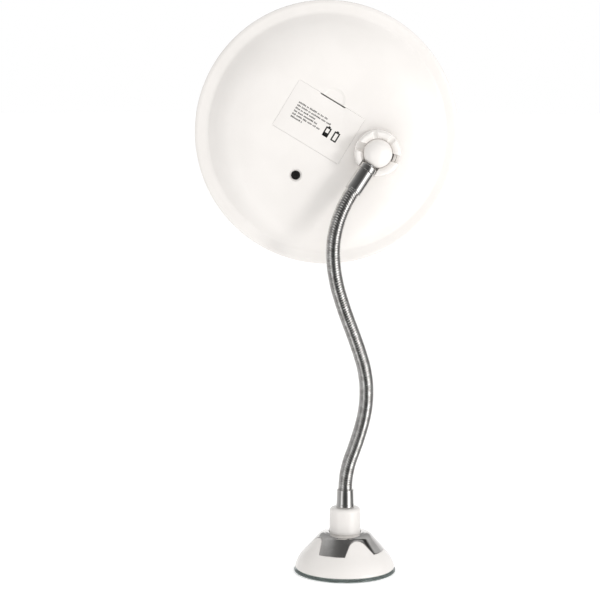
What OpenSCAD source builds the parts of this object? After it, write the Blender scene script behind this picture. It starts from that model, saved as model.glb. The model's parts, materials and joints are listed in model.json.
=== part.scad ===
// Extendable shaving mirror: a lighted round mirror on a flexible gooseneck,
// which a ball joint carries at the top and a twist-lock suction cup at the foot.
// The origin is the centre of the suction face. +Z is up and the glass faces +Y.

/* [Suction cup] */
// Radius of the suction cup
cup_r = 36; // [33:0.5:42]
// Thickness of the cup at its rim
cup_t = 2.5; // [2:0.1:3.5]
// Radius of the moulded boss that holds the stud
cup_boss_r = 8; // [7.5:0.1:8.5]
// Height of the moulded boss above the rim
cup_boss_h = 5.5; // [5:0.1:6]

/* [Twist lock] */
// How far the skirt's foot stays inside the cup's edge
skirt_inset = 1; // [0.5:0.1:3]
// Wall of the skirt and its arches
skirt_wall = 2.4; // [2:0.1:3]
// Height of the seam where the metal cap meets the skirt
seam_z = 15; // [14.5:0.1:16]
// Radius at that seam
seam_r = 27.5; // [25:0.1:29.5]
// Height of the metal cap above the seam
cap_h = 11.8; // [11.4:0.1:14]
// Radius of the cap's flat top
cap_top_r = 18.2; // [18:0.1:21]
// Wall of the metal cap
cap_wall = 1.4; // [1:0.1:2]
// Number of arches that rise between the cap's lugs
arch_count = 4; // [3:1:4]
// Width of an arch at its foot
arch_w = 20; // [17:0.5:22]
// Radius of an arch's round head
arch_head_r = 8; // [6:0.5:8.2]
// Turn of the first arch from the front
arch_turn = 23; // [0:1:45]
// Radius of the ring that carries the neck collar's flange
race_r = 17; // [16.5:0.1:17.5]
// How far a full turn of the lock pulls the stud up
stud_lift = 3; // [2:0.1:3.2]
// Turn of the lock from free to locked, in degrees
lock_angle = 90; // [80:1:100]
// Radius of the pull stud
stud_r = 3; // [2.5:0.1:3.4]
// Radius of the cross pin
pin_r = 1.5; // [1.2:0.1:1.6]

/* [Neck] */
// Radius of the neck collar
collar_r = 11; // [10:0.1:12.5]
// Height of the collar above the cap
collar_h = 19.2; // [17:0.1:24]
// Radius of the lower ferrule at its foot
low_ferrule_r = 6.35; // [6:0.05:7]
// Height of the lower ferrule above the collar
low_ferrule_h = 13; // [10:0.5:18]

/* [Gooseneck] */
// Outer radius of the hose
hose_r = 5; // [4.5:0.1:5.5]
// Wall of the hose
hose_wall = 1.6; // [1.2:0.1:2]
// Length of each link of the hose
link_len = 24.7; // [20:0.1:30]
// How far the hose goes into each ferrule
grip = 8; // [6:0.5:9]

/* [Ball joint] */
// Radius of the upper ferrule
ferrule_r = 6; // [5.7:0.1:6.5]
// Length of the upper ferrule with its nut
ferrule_len = 21; // [19:0.5:26]
// Length of the nut at the ferrule's end
stem_nut_len = 4; // [3:0.1:5]
// Radius of the ball
ball_r = 10; // [9.5:0.1:11]
// Height of the ball's centre above the housing's back
ball_h = 13; // [12.6:0.1:15]
// Outer radius of the swivel nut
nut_r = 16; // [15.5:0.1:17]
// How far the nut's lip rises past the ball's centre
nut_lip = 3.5; // [3:0.1:4]
// Width of the small gaps in the nut's rim
nut_gap_w = 5.5; // [4:0.1:6.5]

/* [Mirror head] */
// Outer radius of the head
head_r = 92; // [86:1:112]
// Width of the brim around the dome
brim_w = 9; // [8.5:0.1:10]
// Drop from the flat back to the brim
dome_drop = 15; // [14.5:0.1:18]
// Wall of the housing
shell_t = 2.2; // [1.8:0.1:2.6]
// Depth of the housing at its outer edge
edge_h = 7; // [6.8:0.1:8]
// Depth of the front bezel
bezel_h = 4; // [3.8:0.1:5]
// Thickness of the mirror glass
glass_t = 3; // [2:0.1:3]
// Width of the lit ring around the glass
ring_w = 11; // [9.5:0.1:12]
// Number of light-emitting diodes
led_count = 24; // [12:1:30]
// Clockwise turn of the battery cover, seen from behind
cover_turn = 31; // [0:1:45]

/* [Battery compartment and switch] */
// Width of the battery cover
cover_w = 53; // [52.6:0.1:56]
// Height of the battery cover
cover_h = 36.3; // [35.8:0.1:37]
// Thickness of the battery cover
cover_t = 2; // [1.6:0.1:2]
// Length of the latch slot
latch_w = 19.7; // [16:0.1:24]
// Radius of a battery cell
cell_r = 5.25; // [5:0.05:5.3]
// Length of a battery cell with its nub
cell_len = 44.5; // [44:0.1:45]
// Radius of the push button
button_r = 2.8; // [2.5:0.1:3.2]
// Travel of the push button
button_travel = 1.2; // [0.8:0.1:1.4]

/* [Fits] */
// Gap between parts that move past each other
move_gap = 0.3; // [0.25:0.05:0.4]
// Radial clearance of a turning or sliding fit
run_gap = 0.05; // [0.03:0.01:0.08]
// Radial clearance of the ball in its seats
ball_gap = 0.1; // [0.06:0.01:0.1]

/* [Hidden] */
$fn = 96;

// A small overlap that keeps cuts clean
eps = 0.5;

white = [0.95, 0.94, 0.92];
chrome = [0.75, 0.76, 0.78];
steel = [0.6, 0.61, 0.63];
black = [0.05, 0.05, 0.05];

// Heights in the base
skirt_foot_z = cup_t + move_gap;
cap_top_z = seam_z + cap_h;
cap_plate_t = 2;
shelf_z = 12;
shelf_t = 2.2;
shelf_hole_r = cup_boss_r + 1;
ramp_z = shelf_z + shelf_t + move_gap;
pin_z = ramp_z + move_gap + pin_r;
flange_t = 2.2;
flange_z = cap_top_z - cap_plate_t - 2 * move_gap - flange_t;
race_wall = 2.2;
arch_sink = 0.15;
collar_top_z = cap_top_z + collar_h;
tail_len = 12;
tail_r = low_ferrule_r - 0.45;
mouth_z = collar_top_z + low_ferrule_h;
foot_flange_r = 2 * stud_r;
stud_flat_x = 0.8 * stud_r;
foot_flange_t = 2;
stud_top_z = flange_z + flange_t + stud_lift;

// Direction of the hose at each end of each link: lean to +X from upright, then
// lean to +Y, in degrees. The last pair is also the direction of the ferrule.
hose_lean_x = [0, 20, 14, -1, -17, -21, -16.5, -4, 16, 34];
hose_lean_y = [0, -5, -9, -11, -11, -10, -7, -2, 4, 10];
link_count = len(hose_lean_x) - 1;
arm_start = [0, 0, mouth_z];

function heading(n) =
    [sin(hose_lean_x[n]) * cos(hose_lean_y[n]),
     sin(hose_lean_y[n]),
     cos(hose_lean_x[n]) * cos(hose_lean_y[n])];
function unit(v) = v / norm(v);
// An arc of the given length that starts along u and ends along v
function turn_between(u, v) = acos(min(1, u * v));
function arc_radius(u, v) = link_len / (turn_between(u, v) * PI / 180);
function arc_step(u, v) = (u + v) * arc_radius(u, v) * tan(turn_between(u, v) / 2);
function joint_at(n) =
    n == 0 ? arm_start : joint_at(n - 1) + arc_step(heading(n - 1), heading(n));

arm_end = joint_at(link_count);
ferrule_dir = heading(link_count);
ball_face_gap = 2 * move_gap;
ball_at = arm_end + ferrule_dir * (ferrule_len + ball_face_gap + ball_r);

// Places on the back of the head, in the battery cover's own axes
ball_place = [36.1, 7.7];
button_place = [-3.8, -35.2];
cover_corner = [-35.7, -13.7];
latch_middle = 27.3;
thumb_r = latch_w / 2 - 1.6;

function turned(p, a) = [p[0] * cos(a) - p[1] * sin(a), p[0] * sin(a) + p[1] * cos(a)];
ball_on_head = turned(ball_place, -cover_turn);
head_at = ball_at - [ball_on_head[0], -ball_h, ball_on_head[1]];
slot_angle = atan2(-ferrule_dir[2], -ferrule_dir[0]);

// Depths in the head, measured from the flat back towards the glass
flat_r = 44;
wall_r = head_r - brim_w;
split_z = -(dome_drop + edge_h);
carrier_t = 1.5;
board_t = 1.6;
led_t = 1.3;
pad_t = 0.4;
glass_back_z = split_z - pad_t;
front_z = split_z - bezel_h;
lip_w = 2.5;
rim_in_r = wall_r;
ring_out_r = rim_in_r + lip_w - move_gap;
glass_r = ring_out_r - ring_w;
led_circle_r = glass_r + ring_w / 2 - lip_w / 2 + 1;
snap_r = head_r - shell_t - 0.4;
boss_circle_r = 58;
boss_count = 6;
screw_r = 1;

// Ball joint, measured from the ball's centre along the socket's axis
seat_top = -(ferrule_r + 1.9);
thread_r = nut_r - 2.7;
slot_w = 2 * ferrule_r + 2 * move_gap + 0.1;
nut_gap_start = 75;
nut_gap_step = 60;
nut_gap_count = 4;

// Battery compartment
tray_wall = 0.9;
tray_w = cover_w - 1.2;
tray_h = cover_h - 0.7;
cover_mid = [cover_corner[0] + cover_w / 2, cover_corner[1] + cover_h / 2];
cell_z = -(shell_t + move_gap + cell_r);
cell_pitch = 2 * cell_r + 1.1;
tray_floor_z = cell_z - cell_r - move_gap;
contact_t = 0.5;
spring_wire = 0.35;
spring_len = tray_w - cell_len - 2 * contact_t - 2 * run_gap;

// Switch
button_top = 1;
button_flange_t = 1;
button_flange_z = -(shell_t + move_gap);
spring_shut_h = 2.3;
switch_top_z = button_flange_z - button_flange_t - button_travel - spring_shut_h;
switch_h = 8;
switch_w = 8;

// ---- placing ----

module placed(p, z, x) {
    y = cross(z, x);
    multmatrix([[x[0], y[0], z[0], p[0]],
                [x[1], y[1], z[1], p[1]],
                [x[2], y[2], z[2], p[2]],
                [0, 0, 0, 1]]) children();
}

module on_head() {
    translate(head_at) rotate([90, 0, 0]) children();
}

module on_cover_axes() {
    on_head() rotate([0, 0, -cover_turn]) children();
}

module at_ball() {
    translate(ball_at) rotate([90, 0, 0]) children();
}

// Z runs from the ball's centre down the ferrule
module along_ferrule() {
    placed(ball_at, -ferrule_dir, unit(cross(-ferrule_dir, [0, 1, 0]))) children();
}

module tube(outer, inner, z0, z1) {
    difference() {
        translate([0, 0, z0]) cylinder(r = outer, h = z1 - z0);
        translate([0, 0, z0 - eps]) cylinder(r = inner, h = z1 - z0 + 2 * eps);
    }
}

module ring_2d(profile) {
    rotate_extrude() polygon(profile);
}

// A thin round strand that follows a list of points
function strand_dir(p, i) = unit(p[min(i + 1, len(p) - 1)] - p[max(i - 1, 0)]);
function strand_ring(p, i, r, sides) =
    let (d = strand_dir(p, i),
         a = unit(cross(d, abs(d[2]) < 0.9 ? [0, 0, 1] : [1, 0, 0])),
         b = cross(d, a))
    [for (k = [0 : sides - 1]) p[i] + r * (cos(360 * k / sides) * a + sin(360 * k / sides) * b)];
module strand(p, r, sides = 8) {
    n = len(p);
    points = [for (i = [0 : n - 1]) each strand_ring(p, i, r, sides)];
    walls = [for (i = [0 : n - 2], k = [0 : sides - 1])
        let (m = (k + 1) % sides)
        [i * sides + k, (i + 1) * sides + k, (i + 1) * sides + m, i * sides + m]];
    start = [for (k = [0 : sides - 1]) k];
    end = [for (k = [sides - 1 : -1 : 0]) (n - 1) * sides + k];
    polyhedron(points, concat(walls, [start, end]), convexity = 8);
}
function coil(r, length, turns, steps) =
    [for (i = [0 : turns * steps])
        [r * cos(360 * i / steps), r * sin(360 * i / steps), length * i / (turns * steps)]];

// ---- suction base ----

module suction_cup() {
    pocket_z = cup_t + 0.5;
    color([0.78, 0.86, 0.84, 0.6]) difference() {
        union() {
            ring_2d([[0, 0], [cup_r - 0.6, 0], [cup_r, 0.6], [cup_r, cup_t - 1],
                     [cup_r - 0.8, cup_t], [0, cup_t]]);
            cylinder(r = cup_boss_r, h = cup_t + cup_boss_h);
        }
        translate([0, 0, pocket_z - run_gap])
            cylinder(r = foot_flange_r + run_gap, h = foot_flange_t + 2 * run_gap);
        translate([0, 0, pocket_z]) cylinder(r = stud_r + run_gap, h = cup_boss_h + eps);
    }
}

module pull_stud() {
    foot_z = cup_t + 0.5;
    color(steel) difference() {
        union() {
            translate([0, 0, foot_z]) cylinder(r = foot_flange_r, h = foot_flange_t);
            translate([0, 0, foot_z]) cylinder(r = stud_r, h = stud_top_z - foot_z);
        }
        stud_flats(flange_z - stud_lift - 1, 0);
        translate([-cup_r, 0, pin_z]) rotate([0, 90, 0]) cylinder(r = pin_r + run_gap, h = 2 * cup_r);
    }
}

// Two flats that keep the stud from turning in the collar
module stud_flats(z0, grow) {
    flat_x = stud_flat_x + grow;
    for (side = [-1, 1])
        translate([side * (flat_x + stud_r) - stud_r, -2 * stud_r, z0])
            cube([2 * stud_r, 4 * stud_r, stud_top_z]);
}

module cross_pin() {
    pin_half = race_r - race_wall - 2 * move_gap;
    color(steel) translate([-pin_half, 0, pin_z]) rotate([0, 90, 0])
        cylinder(r = pin_r, h = 2 * pin_half);
}

function cone_r(z) = seam_r + (cap_top_r - seam_r) * (z - seam_z) / cap_h;

// Outline of an arch: a round head on legs that spread to the foot
module arch_outline(grow) {
    half = arch_w / 2;
    head_y = cap_h - 1.2 - arch_head_r;
    reach = norm([half, head_y]);
    lean = acos(arch_head_r / reach) - atan2(head_y, half);
    r = arch_head_r + grow;
    foot = half + grow / cos(lean);
    steps = 16;
    head = [for (i = [0 : steps])
        let (a = lean + (180 - 2 * lean) * i / steps) [r * cos(a), head_y + r * sin(a)]];
    polygon(concat([[-foot, 0], [-foot, -1], [foot, -1], [foot, 0]], head));
}

// The arches stand clear of each other, so they start outside their own corners
module arches(grow) {
    from = arch_w / 2 + 3;
    for (i = [0 : arch_count - 1])
        rotate([0, 0, arch_turn + 360 * i / arch_count])
            translate([0, -from, seam_z]) rotate([90, 0, 0])
                linear_extrude(height = cup_r) arch_outline(grow);
}

// A cone frustum on the lock's slope
module slope(inset, z0, z1) {
    translate([0, 0, z0])
        cylinder(r1 = cone_r(z0) - inset, r2 = cone_r(z1) - inset, h = z1 - z0);
}

// A ramp that climbs by the stud's lift over the lock's turn
module cam_ramp() {
    r_in = shelf_hole_r + 0.2;
    r_out = race_r - race_wall + 0.5;
    landing = 10;
    steps = 9;
    turns = concat([-landing], [for (i = [0 : steps]) lock_angle * i / steps],
                   [lock_angle + landing]);
    n = len(turns);
    function ramp_top(a) = ramp_z + stud_lift * max(0, min(1, a / lock_angle));
    points = [for (a = turns) each
        [for (c = [[r_in, shelf_z + 1], [r_out, shelf_z + 1],
                   [r_out, ramp_top(a)], [r_in, ramp_top(a)]])
            [c[0] * cos(-a), c[0] * sin(-a), c[1]]]];
    walls = [for (i = [0 : n - 2], k = [0 : 3])
        let (m = (k + 1) % 4) [4 * i + m, 4 * i + k, 4 * i + 4 + k, 4 * i + 4 + m]];
    polyhedron(points, concat(walls, [[0, 1, 2, 3], [4 * n - 1, 4 * n - 2, 4 * n - 3, 4 * n - 4]]),
               convexity = 6);
}

module lock_skirt() {
    foot_r = cup_r - skirt_inset;
    foot_band = 1.6;
    steps = 8;
    // the wall bulges outwards between its foot and the seam
    bulge = 1.6;
    outer = [for (i = [0 : steps])
        let (t = i / steps, z = skirt_foot_z + foot_band + (seam_z - skirt_foot_z - foot_band) * t)
        [foot_r + (seam_r - foot_r) * t + bulge * sin(180 * t), z]];
    inner = [for (i = [steps : -1 : 0]) outer[i] - [skirt_wall, 0]];
    color(white) {
        ring_2d(concat([[foot_r - skirt_wall, skirt_foot_z], [foot_r - 0.5, skirt_foot_z],
                        [foot_r, skirt_foot_z + 0.5]], outer, inner));
        tube(seam_r + bulge - 1, shelf_hole_r, shelf_z, shelf_z + shelf_t);
        tube(race_r, race_r - race_wall, shelf_z + 1, flange_z - move_gap);
        for (side = [0, 180]) rotate([0, 0, side]) cam_ramp();
        difference() {
            intersection() {
                slope(arch_sink, seam_z - 2, cap_top_z);
                arches(0);
            }
            slope(skirt_wall + 0.4, seam_z - 3, cap_top_z + 1);
        }
    }
}

module lock_cap() {
    color(chrome) difference() {
        slope(0, seam_z + 0.1, cap_top_z);
        slope(cap_wall, seam_z - 1, cap_top_z - cap_plate_t);
        translate([0, 0, seam_z]) cylinder(r = collar_r + move_gap, h = 2 * cap_h);
        arches(0.15);
    }
}

module neck_collar() {
    color(white) difference() {
        union() {
            translate([0, 0, flange_z]) cylinder(r = race_r, h = flange_t);
            ring_2d([[0, flange_z], [collar_r, flange_z], [collar_r, collar_top_z - 1.2],
                     [collar_r - 1.2, collar_top_z], [0, collar_top_z]]);
        }
        difference() {
            translate([0, 0, flange_z - eps])
                cylinder(r = stud_r + run_gap, h = stud_top_z + stud_lift + 1 - flange_z + eps);
            stud_flats(flange_z - 1, run_gap);
        }
        translate([0, 0, collar_top_z - tail_len])
            cylinder(r = tail_r + run_gap, h = tail_len + eps);
    }
}

module lower_ferrule() {
    color(chrome) difference() {
        union() {
            translate([0, 0, collar_top_z - tail_len]) cylinder(r = tail_r, h = tail_len + eps);
            translate([0, 0, collar_top_z])
                cylinder(r1 = low_ferrule_r, r2 = hose_r + 0.8, h = low_ferrule_h);
        }
        translate([0, 0, mouth_z - grip]) cylinder(r = hose_r + run_gap, h = grip + eps);
    }
}

// ---- gooseneck ----

// A round bar of radius r that starts at the origin along +Z and bends to +X
module bent_bar(r, bend, bend_r) {
    placed([bend_r, 0, 0], [0, 1, 0], [-1, 0, 0])
        rotate_extrude(angle = bend) translate([bend_r, 0]) circle(r = r);
}

module arm_link(n) {
    u = heading(n);
    v = heading(n + 1);
    bend = turn_between(u, v);
    bend_r = arc_radius(u, v);
    side = unit(v - (u * v) * u);
    bore_r = hose_r - hose_wall;
    // a little under the hose, for the domes and the ends inside the ferrules
    plug_r = hose_r - 0.15;
    first = n == 0;
    last = n == link_count - 1;
    color(chrome) difference() {
        union() {
            placed(joint_at(n), u, side) bent_bar(hose_r, bend, bend_r);
            if (first) translate(joint_at(n) - [0, 0, grip]) cylinder(r = plug_r, h = grip + 1);
            if (last) placed(joint_at(n + 1) - v, v, unit(cross(v, [0, 1, 0])))
                cylinder(r = plug_r, h = grip + 1);
            if (!last) translate(joint_at(n + 1)) sphere(r = plug_r);
        }
        placed(joint_at(n), u, side) bent_bar(bore_r, bend, bend_r);
        if (!first) translate(joint_at(n)) sphere(r = hose_r + move_gap);
    }
}

// ---- ball joint ----

ferrule_from = ball_r + ball_face_gap;
ferrule_to = ferrule_from + ferrule_len;
stud_tail = 4.5;

module upper_ferrule() {
    nut_end = ferrule_from + stem_nut_len;
    color(chrome) along_ferrule() difference() {
        ring_2d([[0, nut_end + 0.1], [ferrule_r - 0.5, nut_end + 0.1], [ferrule_r, nut_end + 0.6],
                 [ferrule_r, ferrule_to - 0.6], [ferrule_r - 0.4, ferrule_to], [0, ferrule_to]]);
        translate([0, 0, nut_end - eps]) cylinder(r = stud_r + run_gap, h = stud_tail + eps);
        translate([0, 0, ferrule_to - grip]) cylinder(r = hose_r + run_gap, h = grip + eps);
    }
}

module stem_nut() {
    color(chrome) along_ferrule() difference() {
        ring_2d([[0, ferrule_from], [ferrule_r - 0.6, ferrule_from],
                 [ferrule_r, ferrule_from + 0.6],
                 [ferrule_r, ferrule_from + stem_nut_len - 0.4],
                 [ferrule_r - 0.4, ferrule_from + stem_nut_len],
                 [0, ferrule_from + stem_nut_len]]);
        translate([0, 0, ferrule_from - eps])
            cylinder(r = stud_r + run_gap, h = stem_nut_len + 2 * eps);
    }
}

module ball_stud() {
    color(steel) along_ferrule() translate([0, 0, 3])
        cylinder(r = stud_r, h = ferrule_from + stem_nut_len + stud_tail - 3 - run_gap);
}

module ball() {
    color(white) along_ferrule() difference() {
        sphere(r = ball_r);
        translate([0, 0, 3 - move_gap]) cylinder(r = stud_r + run_gap, h = ball_r);
        translate([0, 0, ball_r - 0.6]) cylinder(r = ball_r, h = ball_r);
    }
}

module nut_gap(width, floor_z) {
    translate([ball_r - 2, 0, 0]) {
        translate([0, 0, floor_z + width / 2]) rotate([0, 90, 0])
            cylinder(r = width / 2, h = nut_r);
        translate([0, -width / 2, floor_z + width / 2]) cube([nut_r, width, nut_r]);
    }
}

module swivel_nut() {
    foot = move_gap - ball_h;
    color(white) at_ball() difference() {
        ring_2d([[0, foot], [nut_r - 0.8, foot], [nut_r, foot + 0.8], [nut_r, nut_lip - 2],
                 [nut_r - 0.7, nut_lip - 0.6], [nut_r - 2, nut_lip], [0, nut_lip]]);
        sphere(r = ball_r + ball_gap);
        translate([0, 0, foot - eps])
            cylinder(r = thread_r + move_gap, h = seat_top + move_gap - foot + eps);
        rotate([0, 0, slot_angle]) nut_gap(slot_w, -slot_w / 2);
        for (i = [0 : nut_gap_count - 1])
            rotate([0, 0, slot_angle - nut_gap_start - i * nut_gap_step]) nut_gap(nut_gap_w, -3);
    }
}

module socket_cup() {
    color([0.25, 0.25, 0.27]) at_ball() difference() {
        translate([0, 0, 0.1 - ball_h])
            cylinder(r = thread_r - 2 - run_gap, h = seat_top + ball_h - 0.1);
        sphere(r = ball_r + ball_gap);
    }
}

// ---- mirror head ----

// A quarter of an ellipse from the flat back down to the wall
function dome_edge(r1, z0, steps = 14) =
    [for (i = [0 : steps]) let (a = 90 * i / steps)
        [flat_r + (r1 - flat_r) * sin(a), z0 - dome_drop * (1 - cos(a))]];

module shell_profile() {
    outer = dome_edge(wall_r, 0);
    inner = dome_edge(wall_r - shell_t, -shell_t);
    back = [for (i = [len(inner) - 1 : -1 : 0]) inner[i]];
    polygon(concat(
        [[0, 0]], outer,
        [[wall_r + 0.6, -dome_drop - 0.3], [head_r - 1.4, -dome_drop - 0.6],
         [head_r - 0.4, -dome_drop - 1.2], [head_r, -dome_drop - 2.2], [head_r, split_z],
         [head_r - shell_t, split_z], [head_r - shell_t, -dome_drop - shell_t - 0.6]],
        back, [[0, -shell_t]]));
}

module cover_outline(grow) {
    translate([cover_corner[0] - grow, cover_corner[1] - grow])
        square([cover_w + 2 * grow, cover_h + 2 * grow]);
}

module rear_housing() {
    socket_r = thread_r - 2;
    pocket = switch_w / 2 + 0.2;
    rim = 1.2;
    color(white) difference() {
        union() {
            on_head() rotate_extrude() shell_profile();
            at_ball() translate([0, 0, -ball_h - 1]) cylinder(r = thread_r, h = seat_top + ball_h + 1);
            on_head() for (i = [0 : boss_count - 1]) rotate([0, 0, 30 + i * 360 / boss_count])
                translate([boss_circle_r, 0, split_z + carrier_t])
                    cylinder(r = 3.5, h = -split_z - carrier_t - 2.6);
            on_cover_axes() translate([button_place[0], button_place[1], switch_top_z - 4])
                linear_extrude(height = -switch_top_z + 4 - shell_t + eps)
                    square(2 * (pocket + rim), center = true);
        }
        at_ball() translate([0, 0, -ball_h]) cylinder(r = socket_r, h = 2 * ball_h);
        on_head() for (i = [0 : boss_count - 1]) rotate([0, 0, 30 + i * 360 / boss_count])
            translate([boss_circle_r, 0, split_z + carrier_t - eps])
                cylinder(r = screw_r + run_gap, h = 9);
        on_cover_axes() {
            translate([0, 0, -shell_t - eps]) linear_extrude(height = shell_t + 2 * eps)
                cover_outline(move_gap);
            translate([cover_corner[0] + latch_middle, cover_corner[1] + cover_h, -0.8])
                cylinder(r = thumb_r, h = 2);
            translate([button_place[0], button_place[1], -shell_t - eps])
                cylinder(r = button_r + move_gap, h = shell_t + 2 * eps);
            translate([button_place[0], button_place[1], -0.4])
                cylinder(r1 = button_r + 0.8, r2 = button_r + 1.8, h = 1);
            translate([button_place[0] - pocket, button_place[1] - pocket, switch_top_z - 4 - eps])
                cube([2 * pocket, 2 * pocket, -switch_top_z + 4 - shell_t + eps]);
        }
    }
}

module front_bezel() {
    lip_t = 1.4;
    color(white) on_head() ring_2d([
        [head_r, split_z - 0.05], [head_r, front_z + 2], [head_r - 0.6, front_z + 0.6],
        [head_r - 2, front_z], [rim_in_r + 1, front_z], [rim_in_r, front_z + 0.8],
        [rim_in_r, front_z + lip_t], [rim_in_r + lip_w, front_z + lip_t],
        [rim_in_r + lip_w, split_z - 0.05], [snap_r - 2, split_z - 0.05],
        [snap_r - 2, split_z + 2.8], [snap_r - 0.4, split_z + 2.8], [snap_r, split_z + 2.2],
        [snap_r, split_z - 0.05]]);
}

module light_diffuser() {
    color([0.97, 0.97, 0.95]) on_head()
        tube(ring_out_r, glass_r + move_gap, front_z + 1.4, split_z - 0.15);
}

module mirror_glass() {
    color([0.8, 0.85, 0.88]) on_head() ring_2d([
        [0, glass_back_z], [glass_r, glass_back_z], [glass_r, glass_back_z - glass_t + 0.6],
        [glass_r - 0.6, glass_back_z - glass_t], [0, glass_back_z - glass_t]]);
}

module adhesive_pad() {
    color([0.9, 0.9, 0.85]) on_head() tube(glass_r - 14, 12, glass_back_z, split_z);
}

module screw_places() {
    for (i = [0 : boss_count - 1]) rotate([0, 0, 30 + i * 360 / boss_count])
        translate([boss_circle_r, 0, split_z]) children();
}

module mirror_carrier() {
    color(white) on_head() difference() {
        translate([0, 0, split_z]) cylinder(r = snap_r - 2.3, h = carrier_t);
        for (i = [0 : led_count - 1]) rotate([0, 0, 360 * i / led_count])
            translate([led_circle_r, 0, split_z - eps]) cylinder(r = 2.5, h = carrier_t + 2 * eps);
        screw_places() {
            translate([0, 0, -eps]) cylinder(r = screw_r + 0.2, h = 2 * carrier_t);
            translate([0, 0, -0.1]) cylinder(r1 = 2.5, r2 = screw_r + 0.2, h = 1.2);
        }
    }
}

module carrier_screws() {
    color(steel) on_head() screw_places() {
        cylinder(r1 = 2.1, r2 = screw_r, h = 1.1);
        cylinder(r = screw_r, h = 8);
    }
}

module led_board() {
    color([0.95, 0.95, 0.9]) on_head()
        tube(led_circle_r + 5, led_circle_r - 5, split_z + carrier_t, split_z + carrier_t + board_t);
}

module leds() {
    color([1, 0.95, 0.6]) on_head() for (i = [0 : led_count - 1])
        rotate([0, 0, 360 * i / led_count])
            translate([led_circle_r - 1.4, -1.75, split_z + carrier_t - led_t])
                cube([2.8, 3.5, led_t]);
}

// ---- battery compartment ----

module battery_tray() {
    top = -shell_t - run_gap;
    color([0.9, 0.9, 0.88]) on_cover_axes() translate([cover_mid[0], cover_mid[1], 0])
        difference() {
            translate([-tray_w / 2 - tray_wall, -tray_h / 2 - tray_wall, tray_floor_z - 1.2])
                cube([tray_w + 2 * tray_wall, tray_h + 2 * tray_wall, top - tray_floor_z + 1.2]);
            translate([-tray_w / 2, -tray_h / 2, tray_floor_z])
                cube([tray_w, tray_h, -tray_floor_z]);
        }
}

module battery_cover() {
    edge_r = cover_t / 2;
    latch_x = cover_corner[0] + latch_middle;
    color(white) on_cover_axes() {
        difference() {
            translate([cover_corner[0], cover_corner[1] + edge_r, -cover_t])
                cube([cover_w, cover_h - edge_r, cover_t]);
            translate([latch_x - latch_w / 2, cover_corner[1] + cover_h - 1.2, -cover_t - eps])
                cube([latch_w, 2, cover_t + 2 * eps]);
        }
        translate([cover_corner[0], cover_corner[1] + edge_r, -edge_r]) rotate([0, 90, 0])
            cylinder(r = edge_r, h = cover_w);
    }
}

// Runs its children once for each cell, with +Z towards the cell's nub
module at_cells() {
    for (i = [-1 : 1]) on_cover_axes()
        translate([cover_mid[0], cover_mid[1] + i * cell_pitch, cell_z])
            rotate([0, i == 0 ? -90 : 90, 0]) children();
}

module batteries() {
    nub = 1;
    color([0.2, 0.35, 0.55]) at_cells()
        translate([0, 0, tray_w / 2 - contact_t - run_gap - cell_len]) {
            cylinder(r = cell_r, h = cell_len - nub);
            cylinder(r = 1.9, h = cell_len);
        }
}

module battery_contacts() {
    plate = 9;
    color([0.8, 0.7, 0.4]) at_cells() {
        translate([-plate / 2, -plate / 2, tray_w / 2 - contact_t - run_gap / 2])
            cube([plate, plate, contact_t - run_gap / 2]);
        translate([-plate / 2, -plate / 2, -tray_w / 2 + run_gap / 2])
            cube([plate, plate, contact_t]);
        translate([0, 0, -tray_w / 2 + contact_t + spring_wire + 0.1])
            strand(coil(3.2, spring_len - 2 * spring_wire - 0.2, 3, 12), spring_wire, 6);
    }
}

// ---- switch ----

module switch_body() {
    color([0.2, 0.2, 0.22]) on_cover_axes() translate([button_place[0], button_place[1], 0]) {
        translate([-switch_w / 2, -switch_w / 2, switch_top_z - switch_h])
            cube([switch_w, switch_w, switch_h]);
        for (x = [-2, 2]) translate([x, 0, switch_top_z - switch_h - 2]) cylinder(r = 0.5, h = 2.5);
    }
}

module switch_button() {
    color(black) on_cover_axes() translate([button_place[0], button_place[1], 0]) {
        ring_2d([[0, button_flange_z - button_flange_t], [button_r, button_flange_z - button_flange_t],
                 [button_r, button_top - 0.5], [button_r - 0.5, button_top], [0, button_top]]);
        translate([0, 0, button_flange_z - button_flange_t])
            cylinder(r = button_r + 0.9, h = button_flange_t);
    }
}

module button_spring() {
    room = button_flange_z - button_flange_t - switch_top_z;
    wire = 0.25;
    color(steel) on_cover_axes()
        translate([button_place[0], button_place[1], switch_top_z + wire + 0.05])
            strand(coil(1.8, room - 2 * wire - 0.1, 4, 14), wire, 6);
}

// Three leads inside the head, in the battery cover's axes
module wires() {
    pin_y = button_place[1];
    tail_z = switch_top_z - switch_h - 2.9;
    board_z = split_z + carrier_t + board_t + 0.9;
    routes = [
        [[-20, -15.6, -9], [-20, -18, -9.5], [-18, -23, -13], [-13, -30, -17], [-9, pin_y, -18],
         [button_place[0] - 2, pin_y, tail_z]],
        [[button_place[0] + 2, pin_y, tail_z], [1, -40, -18.2], [2, -50, -18], [1, -62, -17.5],
         [0, -72, -17.6], [0, -77, board_z]],
        [[12, -15.6, -9], [12, -18, -9.5], [12, -26, -13], [12, -42, -17], [13, -60, -17.3],
         [15, -70, -17.6], [16, -75, board_z]]
    ];
    color([0.7, 0.1, 0.1]) on_cover_axes() for (r = routes) strand(r, 0.6, 6);
}

// ---- the whole mirror ----

suction_cup();
pull_stud();
cross_pin();
lock_skirt();
lock_cap();
neck_collar();
lower_ferrule();
for (n = [0 : link_count - 1])
    arm_link(n);
upper_ferrule();
stem_nut();
ball_stud();
ball();
swivel_nut();
socket_cup();
rear_housing();
front_bezel();
mirror_glass();
adhesive_pad();
light_diffuser();
mirror_carrier();
carrier_screws();
led_board();
leds();
battery_tray();
battery_cover();
batteries();
battery_contacts();
switch_body();
switch_button();
button_spring();
wires();
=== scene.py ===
import math
import random

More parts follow.
